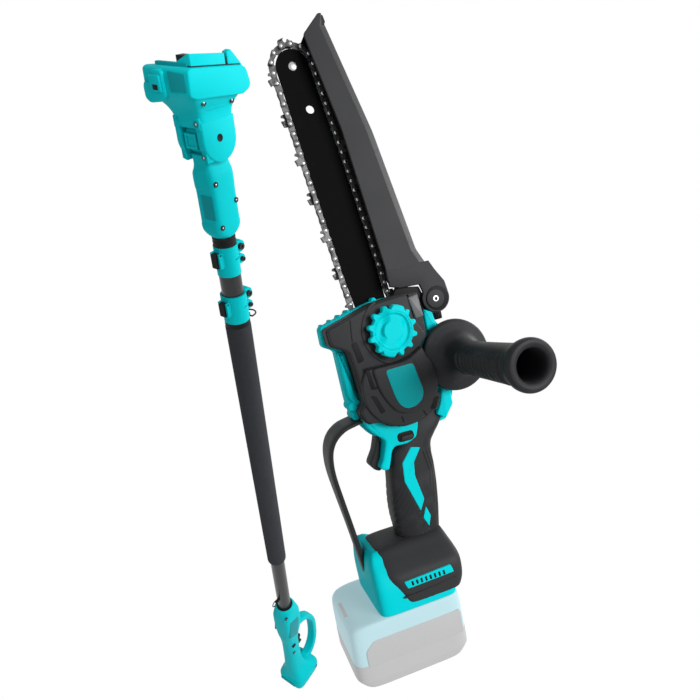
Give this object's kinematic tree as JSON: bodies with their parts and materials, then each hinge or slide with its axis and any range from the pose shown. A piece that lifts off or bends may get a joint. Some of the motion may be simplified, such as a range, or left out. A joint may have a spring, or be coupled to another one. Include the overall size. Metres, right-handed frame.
{
  "type": "telescoping pole saw",
  "caption": "Telescoping pole with a tilting docking head and a battery foot, and the compact cordless chainsaw that slides onto the head.",
  "frame": {"origin": "on the pole axis, where the lower hand holds the handle", "axes": "+Z along the pole, head up; +X to the side of the handle loop, along which the head tilts and slides; the saw stands apart in front of the head"},
  "size_m": [0.3786, 0.4978, 1.4473],
  "materials": {
    "teal_shell": "fine-textured turquoise ABS",
    "black_plastic": "black nylon",
    "black_screw": "black-oxide steel",
    "steel": "turned steel",
    "chain_steel": "chain steel with chromed cutters",
    "black_rubber": "black rubber",
    "grip_rubber_dark": "dark grey overmoulded rubber",
    "dark_tube": "dark anodised aluminium tube",
    "foam": "closed-cell foam",
    "black_bar": "black painted steel bar",
    "dark_shell": "dark grey nylon",
    "motor_steel": "laminated steel",
    "pale_teal_shell": "pale teal plastic",
    "pale_grey_shell": "pale grey plastic",
    "cell_wrap": "cell wrap"
  },
  "bodies": {
    "root": {"lower_clamp": "teal_shell", "lower_clamp_bolts": "black_screw", "outer_tube": "dark_tube", "strap_band": "black_rubber", "foam_grip": "foam", "reducing_bush": "black_plastic", "handle_tube": "dark_tube", "handle_collar": "black_rubber", "handle_shell_front": "teal_shell", "handle_shell_rear": "teal_shell", "handle_terminals": "black_plastic", "handle_screws": "black_screw", "curled_lead": "black_rubber", "housing_front": "teal_shell", "housing_rear": "teal_shell", "guide_bar": "black_bar", "chain_straps": "chain_steel", "chain_cutters": "chain_steel", "side_cover": "dark_shell", "bar_stud": "steel", "motor": "motor_steel", "guard_screw": "black_screw", "side_handle": "grip_rubber_dark", "side_handle_stud": "steel", "hand_guard": "grip_rubber_dark", "grip_rubber": "grip_rubber_dark", "foot_block": "dark_shell", "vent_strip": "teal_shell"},
    "middle_section": {"middle_tube": "dark_tube", "upper_clamp": "teal_shell", "upper_clamp_bolts": "black_screw"},
    "top_section": {"top_tube": "dark_tube", "neck_seal_ring": "black_rubber", "neck_shell_front": "teal_shell", "neck_shell_rear": "teal_shell", "neck_screws": "black_screw"},
    "docking_head": {"head_shell_front": "teal_shell", "head_shell_rear": "teal_shell", "head_contact_block": "black_plastic", "head_screws": "black_screw", "knuckle_pin": "steel"},
    "head_release": {"head_release_button": "teal_shell"},
    "knuckle_lock": {"knuckle_lock_button": "teal_shell"},
    "upper_lever": {"upper_clamp_lever": "black_plastic"},
    "lower_lever": {"lower_clamp_lever": "black_plastic"},
    "strap_loop": {"strap_ring": "black_screw"},
    "lower_loop": {"lower_strap_ring": "black_screw"},
    "pole_trigger": {"handle_trigger": "black_plastic"},
    "pole_lock": {"handle_lock_button": "black_plastic"},
    "guard": {"chain_guard": "dark_shell"},
    "knob": {"cover_knob": "teal_shell"},
    "nose_wheel": {"nose_sprocket": "steel"},
    "drive": {"drive_sprocket": "steel"},
    "cap": {"oil_cap": "black_plastic"},
    "trigger": {"saw_trigger": "dark_shell"},
    "trigger_lock": {"saw_lock_button": "dark_shell"},
    "battery": {"battery_top": "pale_teal_shell", "battery_bottom": "pale_grey_shell", "battery_cells": "cell_wrap"},
    "battery_release": {"battery_latch": "pale_grey_shell"}
  },
  "joints": [
    {"name": "lower_extension", "type": "slide", "parent": "root", "child": "middle_section", "axis": [0, 0, 1], "range_m": [0, 0.45]},
    {"name": "upper_extension", "type": "slide", "parent": "middle_section", "child": "top_section", "axis": [0, 0, 1], "range_m": [0, 0.45]},
    {"name": "head_tilt", "type": "hinge", "parent": "top_section", "child": "docking_head", "pos_m": [0, 0, 1.1253], "axis": [0, 1, 0], "range_deg": [-60, 60]},
    {"name": "head_release_press", "type": "slide", "parent": "docking_head", "child": "head_release", "axis": [1, 0, 0], "range_m": [0, 0.002], "stiffness_N_per_m": 500},
    {"name": "knuckle_lock_press", "type": "slide", "parent": "top_section", "child": "knuckle_lock", "axis": [1, 0, 0], "range_m": [0, 0.003], "stiffness_N_per_m": 500},
    {"name": "upper_lever_swing", "type": "hinge", "parent": "middle_section", "child": "upper_lever", "pos_m": [-0.018, 0, 0.98], "axis": [0, 1, 0], "range_deg": [0, 95]},
    {"name": "lower_lever_swing", "type": "hinge", "parent": "root", "child": "lower_lever", "pos_m": [-0.02, 0, 0.907], "axis": [0, 1, 0], "range_deg": [0, 95]},
    {"name": "strap_loop_swing", "type": "hinge", "parent": "root", "child": "strap_loop", "pos_m": [0.0205, 0, 0.869], "axis": [0, 1, 0], "range_deg": [-30, 60]},
    {"name": "lower_loop_swing", "type": "hinge", "parent": "root", "child": "lower_loop", "pos_m": [-0.0195, 0, 0.173], "axis": [0, 0, 1], "range_deg": [-60, 60]},
    {"name": "pole_trigger_press", "type": "slide", "parent": "root", "child": "pole_trigger", "axis": [-1, 0, 0], "range_m": [0, 0.006], "stiffness_N_per_m": 400},
    {"name": "pole_lock_press", "type": "slide", "parent": "root", "child": "pole_lock", "axis": [0, 1, 0], "range_m": [0, 0.002], "stiffness_N_per_m": 500},
    {"name": "guard_swing", "type": "hinge", "parent": "root", "child": "guard", "pos_m": [-0.07236, -0.32895, 1.03901], "axis": [0.5334, 0.6801, -0.503], "range_deg": [0, 60], "stiffness_Nm_per_rad": 0.4},
    {"name": "knob_turn", "type": "hinge", "parent": "root", "child": "knob", "pos_m": [-0.11923, -0.30441, 1.02249], "axis": [0.5334, 0.6801, -0.503], "continuous": true},
    {"name": "drive_spin", "type": "hinge", "parent": "root", "child": "drive", "pos_m": [-0.128, -0.326, 0.984], "axis": [0.5334, 0.6801, -0.503], "continuous": true},
    {"name": "nose_spin", "type": "hinge", "parent": "root", "child": "nose_wheel", "pos_m": [-0.07422, -0.19356, 1.2201], "axis": [0.5334, 0.6801, -0.503], "continuous": true},
    {"name": "cap_turn", "type": "hinge", "parent": "root", "child": "cap", "pos_m": [-0.0746, -0.33638, 1.01665], "axis": [0.2993, 0.4045, 0.8642], "continuous": true},
    {"name": "trigger_press", "type": "slide", "parent": "root", "child": "trigger", "axis": [0.7912, -0.6115, 0.0122], "range_m": [0, 0.006], "stiffness_N_per_m": 400},
    {"name": "trigger_lock_press", "type": "slide", "parent": "root", "child": "trigger_lock", "axis": [0.5334, 0.6801, -0.503], "range_m": [0, 0.002], "stiffness_N_per_m": 500},
    {"name": "battery_slide", "type": "slide", "parent": "root", "child": "battery", "axis": [-0.7912, 0.6115, -0.0122], "range_m": [0, 0.06]},
    {"name": "battery_release_press", "type": "slide", "parent": "battery", "child": "battery_release", "axis": [0.7912, -0.6115, 0.0122], "range_m": [0, 0.002], "stiffness_N_per_m": 500}
  ],
  "couplings": [
    {"joint": "nose_spin", "follows": "drive_spin", "ratio": 1.0494}
  ]
}
